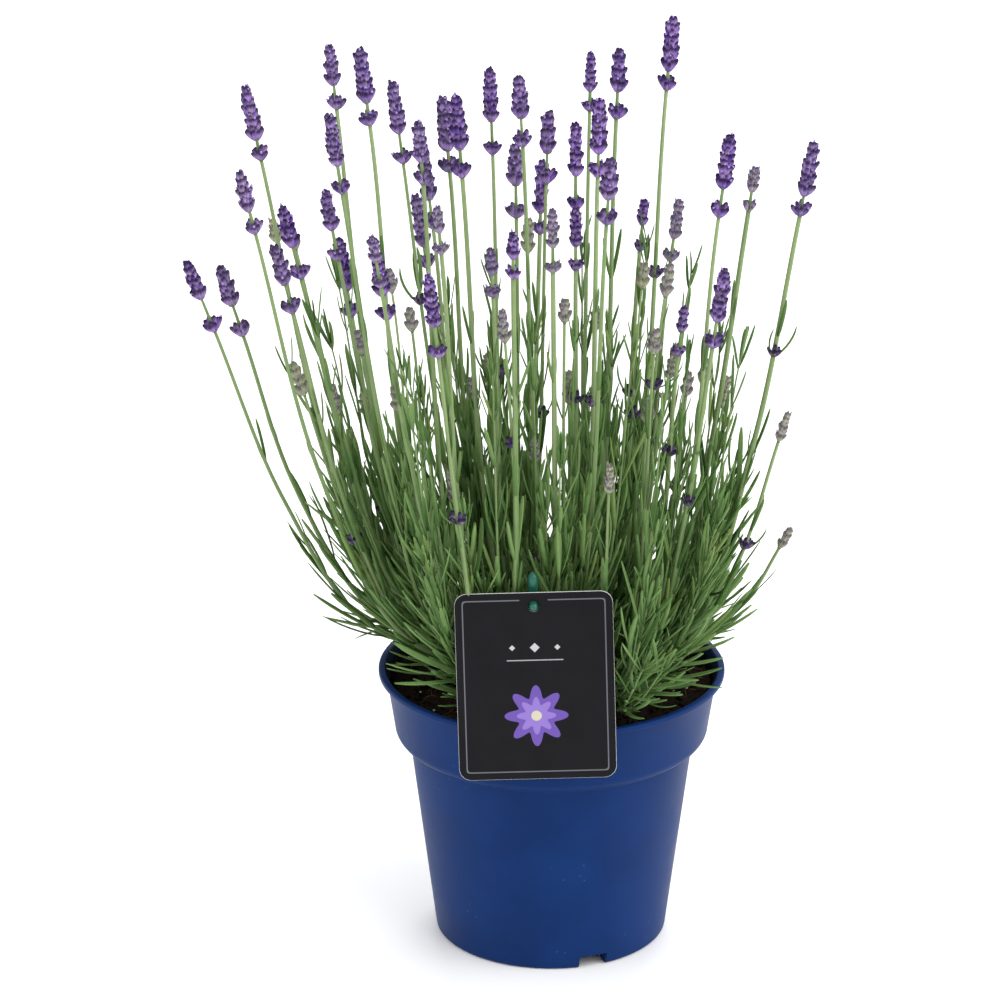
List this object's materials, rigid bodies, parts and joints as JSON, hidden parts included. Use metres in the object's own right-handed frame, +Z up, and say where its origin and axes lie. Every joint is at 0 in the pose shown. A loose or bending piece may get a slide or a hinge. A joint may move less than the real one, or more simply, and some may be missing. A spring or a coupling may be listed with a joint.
{
  "type": "potted lavender",
  "caption": "Flowering lavender in a round blue plastic nursery pot of soil, with tall violet flower spikes over narrow grey-green leaves and a blank plant label on a stake.",
  "frame": {"origin": "middle of the pot's foot, on the plane that it stands on", "axes": "+Z up along the pot's axis, -Y towards the viewer that the label faces, +X to that viewer's right"},
  "size_m": [0.3392, 0.273, 0.5123],
  "materials": {
    "pot_blue": "satin injection-moulded polypropylene, cobalt blue",
    "soil_brown": null,
    "stem_green": "matte green stems and leaves, downy grey-green on the leaves",
    "spike_violet": null,
    "card_black": "printed plastic card, black with a white edge",
    "stake_green": "dark green moulded plastic"
  },
  "bodies": {
    "root": {"pot": "pot_blue", "soil": "soil_brown", "plant_label": "card_black", "label_stake": "stake_green", "bunch_01": "stem_green", "bunch_02": "stem_green", "bunch_03": "stem_green", "bunch_04": "stem_green", "bunch_05": "stem_green", "bunch_06": "stem_green", "bunch_07": "stem_green", "bunch_08": "stem_green", "bunch_09": "stem_green", "bunch_10": "stem_green", "bunch_11": "stem_green", "bunch_12": "stem_green", "spike_01": "spike_violet", "spike_02": "spike_violet", "spike_03": "spike_violet", "spike_04": "spike_violet", "spike_05": "spike_violet", "spike_06": "spike_violet", "spike_07": "spike_violet", "spike_08": "spike_violet", "spike_09": "spike_violet", "spike_10": "spike_violet", "spike_11": "spike_violet", "spike_12": "spike_violet", "spike_13": "spike_violet", "spike_14": "spike_violet", "spike_15": "spike_violet", "spike_16": "spike_violet", "spike_17": "spike_violet", "spike_18": "spike_violet", "spike_19": "spike_violet", "spike_20": "spike_violet", "spike_21": "spike_violet", "spike_22": "spike_violet", "spike_23": "spike_violet", "spike_24": "spike_violet", "spike_25": "spike_violet", "spike_26": "spike_violet", "spike_27": "spike_violet", "spike_28": "spike_violet", "spike_29": "spike_violet", "spike_30": "spike_violet", "spike_31": "spike_violet", "spike_32": "spike_violet", "spike_33": "spike_violet", "spike_34": "spike_violet", "spike_35": "spike_violet", "spike_36": "spike_violet", "spike_37": "spike_violet", "spike_38": "spike_violet", "spike_39": "spike_violet", "spike_40": "spike_violet", "spike_41": "spike_violet", "spike_42": "spike_violet", "spike_43": "spike_violet", "spike_44": "spike_violet"}
  },
  "joints": []
}
